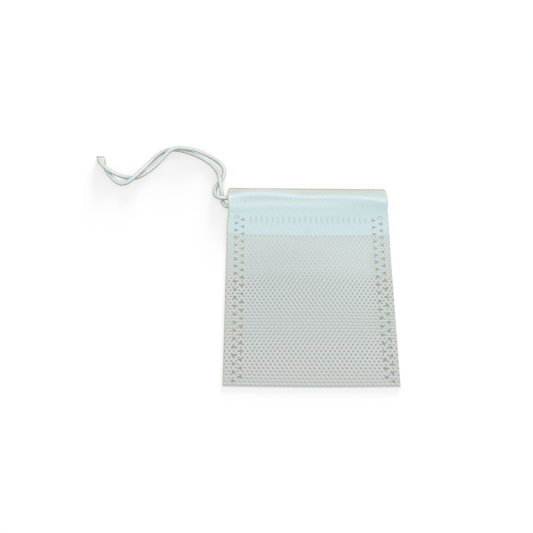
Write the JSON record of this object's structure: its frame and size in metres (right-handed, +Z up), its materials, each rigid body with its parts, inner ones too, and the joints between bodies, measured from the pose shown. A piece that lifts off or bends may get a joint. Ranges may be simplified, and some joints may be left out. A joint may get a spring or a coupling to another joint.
{
  "type": "drawstring tea filter bag",
  "caption": "Flat empty tea filter bag of thin point-bonded non-woven cloth, folded at the bottom, spot-welded at the sides and hemmed at the mouth round one cotton drawstring.",
  "frame": {"origin": "middle of the bag's footprint, on the surface it lies on", "axes": "+X to the right across the width, +Y along the length towards the mouth, +Z up through the thickness"},
  "size_m": [0.1297, 0.1109, 0.0054],
  "materials": {
    "cloth": "matt, slightly translucent white spunbonded non-woven with a staggered lattice of small bonded points",
    "cord": "matt white twisted cotton cord"
  },
  "bodies": {
    "root": {"filter_bag": "cloth", "drawstring": "cord"}
  },
  "joints": []
}
